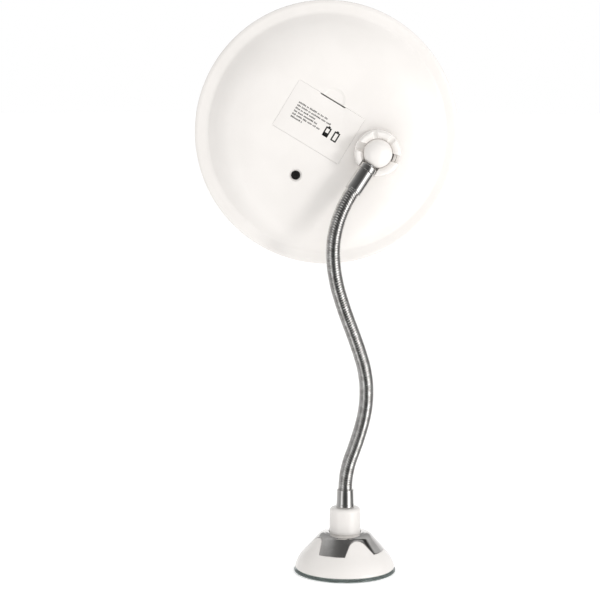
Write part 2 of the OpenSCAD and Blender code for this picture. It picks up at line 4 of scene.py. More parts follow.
import bmesh
import bpy
import numpy as np
from mathutils import Matrix, Vector
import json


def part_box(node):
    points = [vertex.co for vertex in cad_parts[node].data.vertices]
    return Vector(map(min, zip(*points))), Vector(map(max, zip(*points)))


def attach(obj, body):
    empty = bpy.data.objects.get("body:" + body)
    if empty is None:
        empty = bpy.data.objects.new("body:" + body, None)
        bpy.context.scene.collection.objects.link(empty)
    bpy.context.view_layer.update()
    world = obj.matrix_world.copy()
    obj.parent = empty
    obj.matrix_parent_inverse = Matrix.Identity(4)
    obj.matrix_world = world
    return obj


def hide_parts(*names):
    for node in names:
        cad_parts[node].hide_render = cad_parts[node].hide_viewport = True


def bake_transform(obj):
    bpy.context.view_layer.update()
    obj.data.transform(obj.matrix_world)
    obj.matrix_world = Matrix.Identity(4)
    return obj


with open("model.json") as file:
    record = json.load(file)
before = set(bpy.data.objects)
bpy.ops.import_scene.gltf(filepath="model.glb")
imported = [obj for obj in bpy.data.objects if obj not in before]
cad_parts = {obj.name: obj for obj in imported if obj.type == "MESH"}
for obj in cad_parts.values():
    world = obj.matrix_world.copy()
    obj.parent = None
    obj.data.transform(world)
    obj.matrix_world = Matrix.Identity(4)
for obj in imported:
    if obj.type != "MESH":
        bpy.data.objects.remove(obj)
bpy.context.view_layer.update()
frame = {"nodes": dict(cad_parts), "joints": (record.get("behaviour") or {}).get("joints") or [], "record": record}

# Extendable shaving mirror: a round lighted mirror, its gooseneck arm and a twist-lock suction foot.
# Lengths in the dictionaries are in millimetres. Everything built is in metres, in the frame's own axes.

mm = 0.001
tau = 2 * math.pi
joints = {j["name"]: j for j in frame["joints"]}
random.seed(11)


# places taken from the frame

def lean(z, origin, x=None):
    # a matrix whose Z runs along z, and whose X runs as near along x as it can
    z = Vector(z).normalized()
    x = Vector(x) if x else Vector((0, 1, 0)).cross(z)
    x = (x - z * x.dot(z)).normalized()
    m = Matrix((x, z.cross(x), z)).transposed().to_4x4()
    m.translation = Vector(origin)
    return m


def boxIn(node, place):
    # a node's corners in the axes of a place
    back = place.inverted()
    points = np.array([back @ v.co for v in frame["nodes"][node].data.vertices])
    return Vector(points.min(0)), Vector(points.max(0))


upright = Matrix.Identity(4)
onEdge = Matrix(((0, 0, 1, 0), (1, 0, 0, 0), (0, 1, 0, 0), (0, 0, 0, 1)))  # turns XY up into YZ
ballMid = Vector(joints["tilt"]["pos_m"])
armDown = Vector(joints["roll"]["axis"]).normalized()
onFerrule = lean(armDown, ballMid)  # Z runs from the ball down the ferrule
outOfBack = (0, -1, 0)
onNut = lean(outOfBack, ballMid, (1, 0, 0))
rimLo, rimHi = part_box("front_bezel")
headR = (rimHi.x - rimLo.x) / 2 / mm
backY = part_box("battery_cover")[0].y
onHead = lean(outOfBack, ((rimLo.x + rimHi.x) / 2, backY, (rimLo.z + rimHi.z) / 2), (1, 0, 0))
onSeat = onNut @ Matrix.Translation((0, 0, ballMid.y - backY))  # the nut's middle, level with the back
coverAxis = Vector(joints["cover_open"]["axis"])
onCover = lean(outOfBack, onHead.translation, coverAxis)


# mesh tools

def meshFrom(name, points, faces, place=upright, sharp=40):
    mesh = bpy.data.meshes.new(name)
    mesh.from_pydata([tuple(place @ Vector(p)) for p in points], [], [tuple(f) for f in faces])
    obj = bpy.data.objects.new(name, mesh)
    bpy.context.scene.collection.objects.link(obj)
    tidyMesh(obj, sharp)
    return obj


def tidyMesh(obj, sharp=40, weld=1e-7):
    # outward faces, smooth shading, and hard edges only where the surface really turns
    bm = bmesh.new()
    bm.from_mesh(obj.data)
    bmesh.ops.remove_doubles(bm, verts=bm.verts, dist=weld)
    bmesh.ops.dissolve_degenerate(bm, edges=bm.edges, dist=weld)
    bmesh.ops.recalc_face_normals(bm, faces=bm.faces)
    for face in bm.faces:
        face.smooth = True
    for edge in bm.edges:
        edge.smooth = len(edge.link_faces) == 2 and edge.calc_face_angle(0) < math.radians(sharp)
    bm.to_mesh(obj.data)
    bm.free()
    obj.data.update()


def rounded(corners, steps=7):
    # corners are (r, z) or (r, z, fillet) in millimetres; gives points in metres
    out = []
    for i, corner in enumerate(corners):
        p = Vector(corner[:2])
        fillet = corner[2] if len(corner) > 2 else 0
        a = Vector(corners[i - 1][:2]) - p
        b = Vector(corners[(i + 1) % len(corners)][:2]) - p
        if not fillet or a.length < 1e-6 or b.length < 1e-6:
            out.append(p)
            continue
        turn = a.angle(b)
        if turn > math.pi - 0.02:
            out.append(p)
            continue
        reach = min(fillet / math.tan(turn / 2), 0.49 * a.length, 0.49 * b.length)
        radius = reach * math.tan(turn / 2)
        mid = p + (a.normalized() + b.normalized()).normalized() * radius / math.sin(turn / 2)
        start, end = p + a.normalized() * reach - mid, p + b.normalized() * reach - mid
        sweep = start.angle_signed(end)
        for k in range(steps + 1):
            out.append(mid + Matrix.Rotation(-sweep * k / steps, 2) @ start)
    return [(q.x * mm, q.y * mm) for q in out]


def lathePoints(profile, turns):
    points, rings = [], []
    for r, z in profile:
        if r < 1e-6:
            rings.append([len(points)] * turns)
            points.append((0, 0, z))
        else:
            rings.append(list(range(len(points), len(points) + turns)))
            points += [(r * math.cos(tau * k / turns), r * math.sin(tau * k / turns), z)
                       for k in range(turns)]
    faces = []
    for a, b in zip(rings, rings[1:] + rings[:1]):
        for k in range(turns):
            quad = [a[k], a[(k + 1) % turns], b[(k + 1) % turns], b[k]]
            face = list(dict.fromkeys(quad))
            if len(face) > 2:
                faces.append(face)
    return points, faces


def lathe(name, corners, place=upright, turns=160, steps=7, sharp=40):
    points, faces = lathePoints(rounded(corners, steps), turns)
    return meshFrom(name, points, faces, place, sharp)


def prism(name, outline, z0, z1, place=upright):
    n = len(outline)
    points = [(x, y, z) for z in (z0, z1) for x, y in outline]
    faces = [list(range(n))[::-1], list(range(n, 2 * n))]
    faces += [[k, (k + 1) % n, n + (k + 1) % n, n + k] for k in range(n)]
    return meshFrom(name, points, faces, place)


def roundRect(x0, y0, x1, y1, radius, steps=6):
    out = []
    for cx, cy, start in ((x1 - radius, y0 + radius, -90), (x1 - radius, y1 - radius, 0),
                          (x0 + radius, y1 - radius, 90), (x0 + radius, y0 + radius, 180)):
        for k in range(steps + 1):
            a = math.radians(start + 90 * k / steps)
            out.append((cx + radius * math.cos(a), cy + radius * math.sin(a)))
    return out


def freeze(obj):
    # applies the modifiers
    graph = bpy.context.evaluated_depsgraph_get()
    mesh = bpy.data.meshes.new_from_object(obj.evaluated_get(graph))
    obj.modifiers.clear()
    obj.data = mesh
    return obj


def cut(obj, cutters, sharp=40):
    for cutter in cutters:
        change = obj.modifiers.new("cut", "BOOLEAN")
        change.operation, change.solver, change.object = "DIFFERENCE", "EXACT", cutter
        freeze(obj)
        bpy.data.objects.remove(cutter)
    tidyMesh(obj, sharp, 1e-6)
    return obj


def softEdges(obj, width, steps=3, turn=50):
    # rounds every edge where the surface turns by more than the degrees given
    bm = bmesh.new()
    bm.from_mesh(obj.data)
    edges = [e for e in bm.edges
             if len(e.link_faces) == 2 and e.calc_face_angle(0) > math.radians(turn)]
    bmesh.ops.bevel(bm, geom=edges, offset=width * mm, segments=steps, profile=0.5,
                    affect="EDGES", clamp_overlap=True)
    bm.to_mesh(obj.data)
    bm.free()
    tidyMesh(obj)
    return obj


def join(first, *others):
    # one object of several closed shells
    bm = bmesh.new()
    for o in (first, *others):
        bm.from_mesh(o.data)
    bm.to_mesh(first.data)
    bm.free()
    for o in others:
        bpy.data.objects.remove(o)
    return first


def melt(obj, voxel, passes):
    # an even skin over the shape, smoothed so that every edge is moulded round
    remesh = obj.modifiers.new("skin", "REMESH")
    remesh.mode, remesh.voxel_size = "VOXEL", voxel * mm
    smooth = obj.modifiers.new("smooth", "SMOOTH")
    smooth.factor, smooth.iterations = 0.5, passes
    freeze(obj)
    tidyMesh(obj, 180)  # no hard edges are left
    return obj


def fit(obj, body, slot, finish, *nodes):
    # gives a piece its finish and its body, and hides the nodes it stands for
    obj.data.materials.clear()
    obj.data.materials.append(finish)
    if body:
        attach(obj, body)
    if nodes:
        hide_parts(*nodes)
    return obj


# shader tools

class Value:
    # a socket that can be used in sums
    def __init__(self, nodes, socket):
        self.nodes, self.socket = nodes, socket

    def sum(self, operation, *others):
        return self.nodes.add("Math", {"operation": operation}, dict(enumerate((self, *others))))

    def sumBefore(self, operation, other):
        return self.nodes.add("Math", {"operation": operation}, {0: other, 1: self})

    def __add__(self, other): return self.sum("ADD", other)
    def __radd__(self, other): return self.sum("ADD", other)
    def __sub__(self, other): return self.sum("SUBTRACT", other)
    def __rsub__(self, other): return self.sumBefore("SUBTRACT", other)
    def __mul__(self, other): return self.sum("MULTIPLY", other)
    def __rmul__(self, other): return self.sum("MULTIPLY", other)
    def __truediv__(self, other): return self.sum("DIVIDE", other)
    def __rtruediv__(self, other): return self.sumBefore("DIVIDE", other)

    def between(self, low, high):
        # 0 below low, 1 above high, smooth in between; low may be the larger
        flip = low > high
        got = self.nodes.add("MapRange", {"interpolation_type": "SMOOTHSTEP"},
                             {0: self, 1: min(low, high), 2: max(low, high)})
        return 1 - got if flip else got


class Nodes:
    def __init__(self, owner):
        owner.use_nodes = True
        self.owner, self.tree = owner, owner.node_tree
        self.tree.nodes.clear()

    def add(self, kind, settings=None, inputs=None, outlet=0):
        node = self.tree.nodes.new("ShaderNode" + kind)
        for key, value in (settings or {}).items():
            if key == "stops":
                ramp = node.color_ramp.elements
                for i, (at, colour) in enumerate(value):
                    stop = ramp[i] if i < 2 else ramp.new(at)
                    stop.position, stop.color = at, colour
            else:
                setattr(node, key, value)
        for key, value in (inputs or {}).items():
            if isinstance(value, Value):
                self.tree.links.new(value.socket, node.inputs[key])
            else:
                node.inputs[key].default_value = value
        return Value(self, node.outputs[outlet]) if node.outputs else None

    def place(self, stretch=None):
        at = self.add("TexCoord", outlet="Object")
        if stretch:
            at = self.add("VectorMath", {"operation": "MULTIPLY"}, {0: at, 1: stretch})
        return at

    def noise(self, size, detail=3, stretch=None, rough=0.5):
        # size is that of the blotches, in millimetres
        return self.add("TexNoise", {}, {"Vector": self.place(stretch), "Scale": 1 / (size * mm),
                                         "Detail": detail, "Roughness": rough}, "Fac")

    def blend(self, factor, a, b):
        return self.add("Mix", {"data_type": "RGBA"}, {0: factor, 6: a, 7: b}, 2)

    def bump(self, height, depth, strength=1.0):
        # depth in millimetres
        return self.add("Bump", {}, {"Height": height, "Distance": depth * mm, "Strength": strength})


def shade(red, green, blue):
    return (red, green, blue, 1)


def surface(name, base, roughness, normal=None, metallic=0.0, **fixed):
    # base, roughness and normal are functions of the nodes, the rest is set on the sockets
    material = bpy.data.materials.new(name)
    nodes = Nodes(material)
    inputs = {"Base Color": base(nodes), "Roughness": roughness(nodes), "Metallic": metallic}
    if normal:
        inputs["Normal"] = normal(nodes)
    inputs.update({key.replace("_", " "): value for key, value in fixed.items()})
    shader = nodes.add("BsdfPrincipled", {}, inputs)
    nodes.add("OutputMaterial", {}, {"Surface": shader})
    return material


def twoTone(a, b, size, detail=3, low=0.35, high=0.65, stretch=None):
    return lambda n: n.blend(n.noise(size, detail, stretch).between(low, high), shade(*a), shade(*b))


def uneven(base, spread, size, grain=0.0, stretch=None):
    # roughness with slow smears and, if asked, a fine grain
    def make(n):
        got = base + spread * n.noise(size, 4, stretch)
        return got + grain * n.noise(0.35, 2) if grain else got
    return make


def skin(depth, size, detail=3, stretch=None, strength=1.0):
    return lambda n: n.bump(n.noise(size, detail, stretch), depth, strength)


whitePlastic = surface(
    "white moulded plastic", twoTone((0.860, 0.828, 0.797), (0.880, 0.848, 0.818), 26, 4),
    uneven(0.20, 0.07, 22, 0.04), skin(0.010, 0.7, 3, None, 0.5),
    Coat_Weight=0.2, Coat_Roughness=0.15, Specular_IOR_Level=0.45)
chrome = surface(
    "bright chrome", twoTone((0.60, 0.585, 0.57), (0.69, 0.68, 0.665), 9, 4),
    uneven(0.05, 0.09, 7, 0.03), skin(0.02, 5, 2, None, 0.35), metallic=1.0)
spunChrome = surface(  # the hose: each wind catches a little dirt and rub
    "wound chrome", twoTone((0.50, 0.485, 0.47), (0.68, 0.67, 0.655), 3.2, 5),
    uneven(0.09, 0.16, 2.2, 0.05), skin(0.015, 0.8, 2, None, 0.5), metallic=1.0)
brushedSteel = surface(
    "turned steel", twoTone((0.40, 0.40, 0.405), (0.55, 0.55, 0.56), 0.6, 4, 0.3, 0.7, (0.2, 0.2, 3)),
    uneven(0.24, 0.2, 0.9, 0.0, (0.2, 0.2, 4)), skin(0.006, 0.4, 2, (0.2, 0.2, 5)), metallic=1.0)
clearCup = surface(
    "clear green-grey cup", twoTone((0.56, 0.66, 0.64), (0.66, 0.75, 0.73), 12, 3),
    uneven(0.05, 0.12, 6), skin(0.03, 3, 2), Transmission_Weight=0.88, IOR=1.47,
    Specular_IOR_Level=0.6)
blackPlastic = surface(
    "black button plastic", twoTone((0.006, 0.006, 0.006), (0.014, 0.013, 0.013), 1.6, 3),
    uneven(0.34, 0.15, 1.2, 0.06), skin(0.012, 0.3, 3, None, 0.6), Specular_IOR_Level=0.25)
seatPlastic = surface(
    "dark acetal", twoTone((0.030, 0.030, 0.034), (0.052, 0.052, 0.058), 3, 3),
    uneven(0.42, 0.2, 3, 0.08), skin(0.02, 0.4, 3))
silvered = surface(
    "silvered glass", twoTone((0.86, 0.88, 0.885), (0.885, 0.90, 0.905), 60, 2),
    uneven(0.006, 0.02, 40), None, metallic=1.0, Coat_Weight=0.6, Coat_Roughness=0.0)
glassEdge = surface(
    "ground glass edge", twoTone((0.36, 0.52, 0.47), (0.46, 0.62, 0.57), 4, 3),
    uneven(0.28, 0.2, 1.5, 0.05), skin(0.02, 0.4, 3), Transmission_Weight=0.3, IOR=1.52)
mirrorBack = surface(
    "mirror backing paint", twoTone((0.20, 0.215, 0.22), (0.27, 0.285, 0.29), 8, 4),
    uneven(0.5, 0.15, 5, 0.05), skin(0.02, 0.8, 3))
frosted = surface(
    "frosted light ring", twoTone((0.80, 0.80, 0.785), (0.86, 0.86, 0.845), 10, 3),
    uneven(0.42, 0.12, 6, 0.08), skin(0.03, 0.5, 3, None, 0.6),
    Transmission_Weight=0.25, IOR=1.49, Subsurface_Weight=0.15)
innerWhite = surface(
    "satin white plastic", twoTone((0.66, 0.66, 0.64), (0.74, 0.74, 0.72), 12, 4),
    uneven(0.42, 0.16, 8, 0.08), skin(0.02, 0.5, 3))
foamTape = surface(
    "foam tape", twoTone((0.58, 0.575, 0.54), (0.70, 0.695, 0.66), 0.8, 4),
    uneven(0.75, 0.15, 2), skin(0.15, 0.5, 4))
redJacket = surface(
    "wire jacket", twoTone((0.36, 0.015, 0.012), (0.46, 0.03, 0.022), 2, 3),
    uneven(0.34, 0.2, 1.5, 0.05), skin(0.02, 0.5, 3))
brass = surface(
    "plated contacts", twoTone((0.60, 0.53, 0.38), (0.74, 0.68, 0.52), 1.5, 4),
    uneven(0.2, 0.2, 1.2, 0.05), skin(0.01, 0.4, 3), metallic=1.0)
printInk = surface(
    "grey print", twoTone((0.09, 0.086, 0.082), (0.17, 0.163, 0.157), 0.5, 3),
    uneven(0.5, 0.15, 0.8), skin(0.005, 0.2, 2))
darkInk = surface(
    "black print", twoTone((0.008, 0.008, 0.008), (0.018, 0.017, 0.016), 0.6, 3),
    uneven(0.42, 0.15, 0.9), skin(0.005, 0.2, 2))


def boardColours(n):
    # white solder mask, thin tracks in rings and small tinned pads
    at = n.add("VectorMath", {"operation": "SUBTRACT"}, {0: n.place(), 1: onHead.translation})
    parts = n.add("SeparateXYZ", {}, {0: at})
    across = Value(n, parts.socket.node.outputs[0])
    up = Value(n, parts.socket.node.outputs[2])
    radius = (across * across + up * up).sum("SQRT")
    rings = (radius * (tau / (2.6 * mm))).sum("SINE")
    track = rings.between(0.80, 0.95)
    pads = n.add("TexVoronoi", {}, {"Vector": n.place(), "Scale": 1 / (5.5 * mm)}).between(0.16, 0.12)
    white = n.blend(n.noise(3, 3), shade(0.66, 0.68, 0.64), shade(0.75, 0.77, 0.72))
    return n.blend(pads, n.blend(track, white, shade(0.50, 0.53, 0.47)), shade(0.46, 0.45, 0.42))


def jacketColours(n):
    # printed sleeve: dark body, a pale band round one end, fine rub marks
    at = n.add("VectorMath", {"operation": "SUBTRACT"}, {0: n.place(), 1: onCover.translation})
    along = n.add("VectorMath", {"operation": "DOT_PRODUCT"}, {0: at, 1: tuple(coverAxis)}, 1)
    band = (along / mm).between(-26, -25.6)
    blue = n.blend(n.noise(4, 4), shade(0.018, 0.07, 0.17), shade(0.03, 0.10, 0.23))
    return n.blend(band, shade(0.62, 0.60, 0.54), blue)


circuitBoard = surface("circuit board", boardColours, uneven(0.34, 0.16, 2, 0.05), skin(0.03, 0.6, 3))
cellJacket = surface("battery sleeve", jacketColours, uneven(0.2, 0.15, 3, 0.04), skin(0.01, 0.6, 3),
                     Coat_Weight=0.3)
ledLens = surface("yellow phosphor", twoTone((0.80, 0.62, 0.16), (0.90, 0.74, 0.26), 0.7, 3),
                  uneven(0.3, 0.2, 0.8), skin(0.02, 0.3, 3), Coat_Weight=0.4)
print("materials made")


# suction cup

cup = {"rimT": 2.5, "bossR": 8, "boreR": 3.05, "hollow": 0.8, "hollowR": 8, "pocketR": 6.05,
       "pocketLo": 2.95, "pocketHi": 5.05}


def makeCup():
    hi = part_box("suction_cup")[1] / mm
    edge = hi.x
    obj = lathe("suctionCup", [
        (0, cup["hollow"]), (cup["hollowR"], cup["hollow"], 4), (edge - 7, 0.05, 6), (edge - 1.2, 0, 0.6),
        (edge, 0.7, 0.5), (edge, cup["rimT"] - 0.9, 0.7), (edge - 1.4, cup["rimT"], 0.8),
        (cup["bossR"] + 2, cup["rimT"] + 0.05, 1), (cup["bossR"], cup["rimT"] + 1.5, 1),
        (cup["bossR"], hi.z, 0.7), (cup["boreR"], hi.z, 0.3), (cup["boreR"], cup["pocketHi"]),
        (cup["pocketR"], cup["pocketHi"]), (cup["pocketR"], cup["pocketLo"]), (0, cup["pocketLo"])],
        turns=220)
    fit(obj, None, "clear_cup", clearCup, "suction_cup")
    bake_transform(obj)


makeCup()
print("suction cup")


# collar that carries the hose's lower end

collar = {"r": 11, "topEdge": 2.3, "flangeR": 16.6, "flangeZ": 22, "flangeT": 2.2, "boreR": 3.05,
          "socketR": 5.95}


def makeCollar():
    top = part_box("neck_collar")[1].z / mm
    flangeTop = collar["flangeZ"] + collar["flangeT"]
    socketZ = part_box("lower_ferrule")[0].z / mm - 0.1
    obj = lathe("neckCollar", [
        (collar["socketR"], socketZ), (collar["boreR"], socketZ),
        (collar["boreR"], collar["flangeZ"]), (collar["flangeR"], collar["flangeZ"], 0.4),
        (collar["flangeR"], flangeTop, 0.4), (collar["r"], flangeTop, 0.3),
        (collar["r"], top - 6, 8), (collar["r"] - 0.12, top, collar["topEdge"]),
        (collar["socketR"], top, 0.35)], turns=200, steps=10)
    fit(obj, "base", "white_plastic", whitePlastic, "neck_collar")


makeCollar()
print("collar")


# twist lock: a white skirt whose arches rise between the lugs of a chrome cap

lock = {"footR": 35, "footZ": 2.8, "band": 1.6, "seamR": 27.4, "seamZ": 16.4, "bulge": 1.2,
        "wall": 2.4, "capWall": 1.4, "archW": 22.4, "headR": 7.9, "archTurn": 23, "arches": 4,
        "crownZ": 25.7, "gap": 0.15, "edge": 0.5, "capEdge": 0.25, "topR": 17.3, "topZ": 28.2,
        "shoulder": 3.0, "crown": 0.25, "capDeep": 1.9, "holeGap": 0.3, "footEdge": 0.5,
        "shelfLo": 12, "shelfHi": 14.2, "sunk": 0.5, "hubR": 9,
        "ringR": 17.2, "ringIn": 14.8, "ringTop": 21.7}


def makeLock():
    holeR = collar["r"] + lock["holeGap"]
    seam, capTop = lock["seamZ"], lock["topZ"]
    bandTop = lock["footZ"] + lock["band"]
    slope = (lock["seamR"] - lock["topR"]) / (capTop - seam)
    steep = math.atan(1 / slope)

    def coneR(z):
        return lock["seamR"] - slope * (z - seam)

    def skirtR(z):
        if z >= seam:
            return coneR(z)
        if z < bandTop:
            return lock["footR"]
        t = (z - bandTop) / (seam - bandTop)
        return lock["footR"] + (lock["seamR"] - lock["footR"]) * t + lock["bulge"] * math.sin(math.pi * t)

    def archEdge(grow):
        # half an arch, from the crown down to the foot: (angle, height) on the cone
        half, headY = lock["archW"] / 2, lock["crownZ"] - seam - lock["headR"]
        slant = math.acos(lock["headR"] / math.hypot(half, headY)) - math.atan2(headY, half)
        r = lock["headR"] + grow
        arc = [(r * math.sin(t), headY + r * math.cos(t))
               for t in np.linspace(0, math.pi / 2 - slant, 26)]
        end, foot = arc[-1], half + grow / math.cos(slant)
        leg = [(end[0] + (foot - end[0]) * t, end[1] * (1 - t)) for t in np.linspace(0, 1, 24)[1:]]
        return [(math.asin(x / coneR(seam + y)), y) for x, y in arc + leg]

    def columns(grow):
        # angle and arch height, all the way round
        edge = archEdge(grow)
        whole = [(-a, y) for a, y in edge[:0:-1]] + edge
        out = []
        for i in range(lock["arches"]):
            mid = math.radians(lock["archTurn"] - 90 + 360 * i / lock["arches"])
            out += [(mid + a, y) for a, y in whole]
            free = tau / lock["arches"] - 2 * edge[-1][0]
            out += [(mid + edge[-1][0] + free * k / 30, 0) for k in range(1, 30)]
        return out

    def sheet(cols, rows, radius, height):
        # height(arch height, row) and radius(z) give the surface, column by column
        return [[(radius(z) * math.cos(a), radius(z) * math.sin(a), z)
                 for z in (height(y, t) for t in rows)] for a, y in cols]

    def eased(grid, rim, edge):
        # pulls a surface inwards near its arch line, as a quarter round
        flat = np.array(grid).reshape(-1, 3)
        rim = np.array(rim)
        nearest = np.full(len(flat), 1e9)
        for part in np.array_split(np.arange(len(flat)), 40):  # a few at a time, to spare memory
            gap = np.linalg.norm(flat[part][:, None, :] - rim[None], axis=2)
            nearest[part] = gap.min(1)
        e = np.clip(nearest, 0, edge)
        depth = edge - np.sqrt(np.maximum(edge * edge - (edge - e) ** 2, 0))
        normal = np.stack([flat[:, 0], flat[:, 1], 0.75 * np.hypot(flat[:, 0], flat[:, 1])], 1)
        normal /= np.linalg.norm(normal, axis=1)[:, None]
        return (flat - normal * depth[:, None]).reshape(np.array(grid).shape)

    def dense(line):
        # the same closed line with a point about every 0.12 mm
        out = []
        for a, b in zip(line, line[1:] + line[:1]):
            a, b = np.array(a), np.array(b)
            n = max(1, int(np.linalg.norm(b - a) / 0.12))
            out += [a + (b - a) * k / n for k in range(n)]
        return out

    def closeShell(name, strips):
        # strips are grids of columns that follow each other round the section, closed on itself
        points = [tuple(p) for strip in strips for p in strip]
        n = len(strips[0])
        faces = []
        for k in range(len(strips)):
            a, b = k * n, ((k + 1) % len(strips)) * n
            for i in range(n):
                faces.append([a + i, a + (i + 1) % n, b + (i + 1) % n, b + i])
        return meshFrom(name, [Vector(p) * mm for p in points], faces)

    # skirt and arches: level rows up to just below the seam, then rows that rise with the arches
    under = 0.7
    cols = columns(0)
    low = [lock["footZ"] + lock["footEdge"], *np.linspace(bandTop, seam - under - 0.1, 20)]
    high = [0, *(1 - (1 - np.linspace(0, 1, 30)[1:]) ** 1.6)]
    rows = [("low", z) for z in low] + [("high", t) for t in high]

    def skirtZ(y, row):
        kind, t = row
        return t if kind == "low" else seam - under + (y + under) * t

    outer = sheet(cols, rows, skirtR, skirtZ)
    rim = dense([column[-1] for column in outer])
    outer = eased(outer, rim, lock["edge"])
    inner = sheet(cols, rows, lambda z: skirtR(z) - lock["wall"], skirtZ)
    footR = lock["footR"] - lock["footEdge"]
    foot = [[(footR * math.cos(a), footR * math.sin(a), lock["footZ"]) for a, y in cols]]
    strips = [[outer[c][r] for c in range(len(cols))] for r in range(len(rows))]
    strips += [[inner[c][r] for c in range(len(cols))] for r in range(len(rows) - 1, -1, -1)]
    skirt = closeShell("lockSkirt", strips + foot)
    lo, hi, ringTop = lock["shelfLo"], lock["shelfHi"], lock["ringTop"]
    wallIn = lock["wall"] - lock["sunk"]  # the shelf's edge is sunk a little into the wall
    shelf = lathe("shelf", [
        (skirtR(lo) - wallIn, lo), (skirtR(hi) - wallIn, hi), (lock["ringR"], hi, 1),
        (lock["ringR"] - 0.2, ringTop, 0.3), (lock["ringIn"], ringTop, 0.3), (lock["ringIn"], hi),
        (lock["hubR"], hi), (lock["hubR"], lo)])
    fit(join(skirt, shelf), "lock_ring", "white_plastic", whitePlastic, "lock_skirt")

    # cap: its flat top turns down into the cone over a round shoulder
    cols = columns(lock["gap"])
    rows = [*(np.linspace(0, 1, 30) ** 1.6 * 0.93), *np.linspace(0.945, 1, 5)]
    reach = lock["shoulder"]
    bendR = reach / math.tan(steep / 2)
    midR, midZ = lock["topR"] - reach, capTop - bendR
    turn = np.linspace(steep, 0.04, 12)
    start = (midR + bendR * math.sin(steep), midZ + bendR * math.cos(steep))

    def capZ(y, t):
        z0 = seam + y
        return z0 + (start[1] - z0) * t

    outer = sheet(cols, rows, coneR, capZ)
    outer = eased(outer, dense([column[0] for column in outer]), lock["capEdge"])
    inner = np.array(sheet(cols, rows, lambda z: coneR(z) - lock["capWall"], capZ))
    capUnder = capTop - lock["capDeep"]
    inner[..., 2] = np.minimum(inner[..., 2], capUnder)
    crown = lock["crown"]
    bend = [(midR + bendR * math.sin(t), midZ + bendR * math.cos(t)) for t in turn[1:]]
    bend += [(midR - (midR - holeR - 0.4) * t, capTop + crown * (1 - (1 - t) ** 2))
             for t in np.linspace(0, 1, 5)]
    bend += [(holeR + 0.1, capTop + crown - 0.12), (holeR, capTop - 0.1), (holeR, capUnder)]
    strips = [[outer[c][r] for c in range(len(cols))] for r in range(len(rows))]
    strips += [[(r * math.cos(a), r * math.sin(a), z) for a, y in cols] for r, z in bend]
    strips += [[inner[c][r] for c in range(len(cols))] for r in range(len(rows) - 1, -1, -1)]
    fit(closeShell("lockCap", strips), "lock_ring", "chrome", chrome, "lock_cap")


makeLock()
print("twist lock")


# gooseneck

hose = {"r": 5.0, "pitch": 1.72, "groove": 0.40, "around": 52, "perWind": 12, "buried": 6.5,
        "flatness": 3.4, "halfWind": 0.515}


def armLine():
    # points and directions of the hose's centreline, from mouth to mouth, as arcs between the hinges
    start = Vector((0, 0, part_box("lower_ferrule")[1].z))
    ferruleFoot = boxIn("upper_ferrule", onFerrule)[1].z
    stops = [start] + [Vector(joints[f"bend_{k}"]["pos_m"]) for k in range(1, 9)]
    stops.append(ballMid + armDown * ferruleFoot)
    step = hose["pitch"] / hose["perWind"] * mm
    heading = Vector((0, 0, 1))
    buried = hose["buried"] * mm
    runs, total = [(start - heading * buried, heading, heading, buried)], 0.0
    for a, b in zip(stops, stops[1:]):
        chord = (b - a).normalized()
        after = 2 * heading.dot(chord) * chord - heading
        bend = heading.angle(after)
        runs.append((a, heading, after, (b - a).length * (bend / 2) / math.sin(bend / 2)))
        heading = after
    runs.append((stops[-1], heading, heading, buried))
    line, marks = [], []
    for a, u, v, length in runs:
        marks.append(total)
        n = max(2, round(length / step))
        bend = u.angle(v) if (u - v).length > 1e-6 else 0
        side = (v - u * u.dot(v)).normalized() if bend else Vector()
        for k in range(n):
            t = k / n
            if bend:
                radius = length / bend
                at = a + (u * math.sin(bend * t) + side * (1 - math.cos(bend * t))) * radius
                along = u * math.cos(bend * t) + side * math.sin(bend * t)
            else:
                at, along = a + u * length * t, u
            line.append((total + length * t, at, along))
        total += length
    line.append((total, a + u * length, u))  # the far end of the last, straight run
    return line, marks


def windProfile(s, angle):
    # 1 on the proud round wind, less in the narrow groove, running round the hose as a helix
    u = (s / (hose["pitch"] * mm) + angle / tau) % 1.0
    return np.sqrt(np.maximum(0, 1 - (np.abs(u - 0.5) / hose["halfWind"]) ** hose["flatness"]))


def makeHose():
    line, marks = armLine()
    ring = np.linspace(0, tau, hose["around"], endpoint=False)
    side = line[0][2].orthogonal().normalized()
    rings = []
    for s, at, along in line:
        side = (side - along * side.dot(along)).normalized()
        other = along.cross(side)
        depth = (windProfile(s, ring) - 1) * hose["groove"]
        r = (hose["r"] + depth) * mm
        ringPoints = (np.array(at) + r[:, None] * (np.cos(ring)[:, None] * np.array(side)
                                                   + np.sin(ring)[:, None] * np.array(other)))
        rings.append((s, ringPoints))
    middles = [(marks[k + 1] + marks[k + 2]) / 2 for k in range(9)]  # the middle of each link
    for k in range(8):
        # from the middle of one link to the middle of the next; the end pieces run on to the hose's ends
        low = middles[k] if k > 0 else rings[0][0]
        high = middles[k + 1] if k < 7 else rings[-1][0]
        chosen = [i for i, (s, p) in enumerate(rings) if low <= s <= high]
        if k < 7:
            chosen.append(chosen[-1] + 1)  # a ring shared with the next piece, so that no gap shows
        points = np.concatenate([rings[i][1] for i in chosen])
        n = hose["around"]
        faces = [[i * n + j, i * n + (j + 1) % n, (i + 1) * n + (j + 1) % n, (i + 1) * n + j]
                 for i in range(len(chosen) - 1) for j in range(n)]
        last = (len(chosen) - 1) * n
        faces += [list(range(n))[::-1], list(range(last, last + n))]
        obj = meshFrom(f"hose_{k + 1}", points, faces, upright, 70)
        nodes = [f"arm_link_{k + 1}"] + (["arm_link_9"] if k == 7 else [])
        fit(obj, None, "chrome", spunChrome, *nodes)
        start = min(line, key=lambda q: abs(q[0] - middles[k]))[1]
        end = min(line, key=lambda q: abs(q[0] - middles[k + 1]))[1]
        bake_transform(obj)


